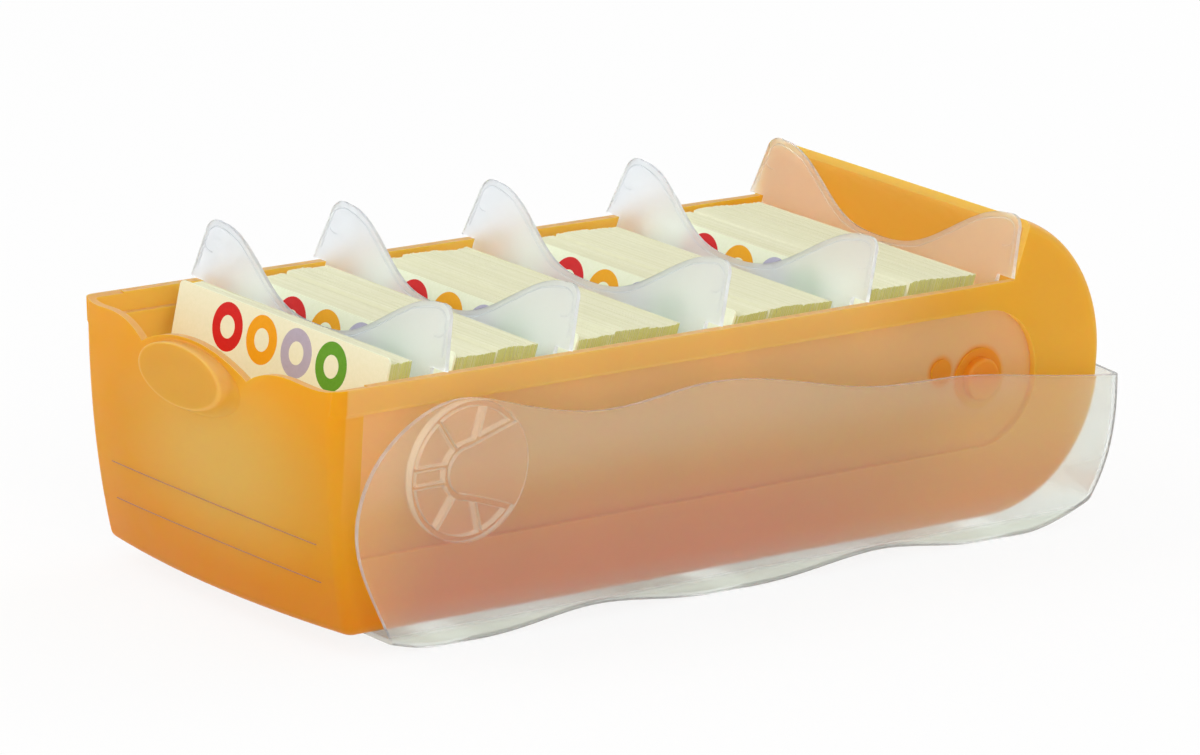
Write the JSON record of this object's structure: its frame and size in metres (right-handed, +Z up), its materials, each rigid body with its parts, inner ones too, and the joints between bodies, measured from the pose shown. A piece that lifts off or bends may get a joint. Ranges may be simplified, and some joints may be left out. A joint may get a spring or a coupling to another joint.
{
  "type": "index card box",
  "caption": "Free-standing box for small index cards, with a rear hood, leaning dividers and a lid stored under it that slides to the rear.",
  "frame": {"origin": "middle of the footprint, on the plane that the lid's feet stand on", "axes": "+Z up, +Y towards the hood, -Y towards the pull on the front wall, +X to the right seen from the front"},
  "size_m": [0.0934, 0.2306, 0.0727],
  "materials": {
    "orange_plastic": "translucent satin",
    "frosted_plastic": "frosted clear",
    "divider_plastic": "frosted clear",
    "card_stock": "uncoated card edges",
    "header_card": "uncoated card with printed dots"
  },
  "bodies": {
    "tub": {"tub": "orange_plastic"},
    "lid": {"lid": "frosted_plastic"},
    "divider_1": {"divider_1": "divider_plastic"},
    "divider_2": {"divider_2": "divider_plastic"},
    "divider_3": {"divider_3": "divider_plastic"},
    "divider_4": {"divider_4": "divider_plastic"},
    "divider_5": {"divider_5": "divider_plastic"},
    "stack_1": {"header_card_1": "header_card", "cards_1": "card_stock"},
    "stack_2": {"header_card_2": "header_card", "cards_2_front": "card_stock", "cards_2_rear": "card_stock"},
    "stack_3": {"header_card_3": "header_card", "cards_3_front": "card_stock", "cards_3_middle": "card_stock", "cards_3_rear": "card_stock"},
    "stack_4": {"header_card_4": "header_card", "cards_4_front": "card_stock", "cards_4_middle": "card_stock", "cards_4_rear": "card_stock"},
    "stack_5": {"header_card_5": "header_card", "cards_5_front": "card_stock", "cards_5_middle": "card_stock", "cards_5_rear": "card_stock"}
  },
  "joints": [
    {"name": "lid_slide", "type": "slide", "parent": "tub", "child": "lid", "axis": [0, 1, 0], "range_m": [0, 0.1439]},
    {"name": "divider_1_lift", "type": "slide", "parent": "tub", "child": "divider_1", "axis": [0, 0.2079, 0.9781], "range_m": [0, 0.06]},
    {"name": "divider_2_lift", "type": "slide", "parent": "tub", "child": "divider_2", "axis": [0, 0.2756, 0.9613], "range_m": [0, 0.06]},
    {"name": "divider_3_lift", "type": "slide", "parent": "tub", "child": "divider_3", "axis": [0, 0.3007, 0.9537], "range_m": [0, 0.06]},
    {"name": "divider_4_lift", "type": "slide", "parent": "tub", "child": "divider_4", "axis": [0, 0.3173, 0.9483], "range_m": [0, 0.06]},
    {"name": "divider_5_lift", "type": "slide", "parent": "tub", "child": "divider_5", "axis": [0, 0.2672, 0.9636], "range_m": [0, 0.06]},
    {"name": "stack_1_lift", "type": "slide", "parent": "tub", "child": "stack_1", "axis": [0, 0.1736, 0.9848], "range_m": [0, 0.06]},
    {"name": "stack_2_lift", "type": "slide", "parent": "tub", "child": "stack_2", "axis": [0, 0.2588, 0.9659], "range_m": [0, 0.06]},
    {"name": "stack_3_lift", "type": "slide", "parent": "tub", "child": "stack_3", "axis": [0, 0.284, 0.9588], "range_m": [0, 0.06]},
    {"name": "stack_4_lift", "type": "slide", "parent": "tub", "child": "stack_4", "axis": [0, 0.309, 0.9511], "range_m": [0, 0.06]},
    {"name": "stack_5_lift", "type": "slide", "parent": "tub", "child": "stack_5", "axis": [0, 0.2588, 0.9659], "range_m": [0, 0.06]}
  ]
}
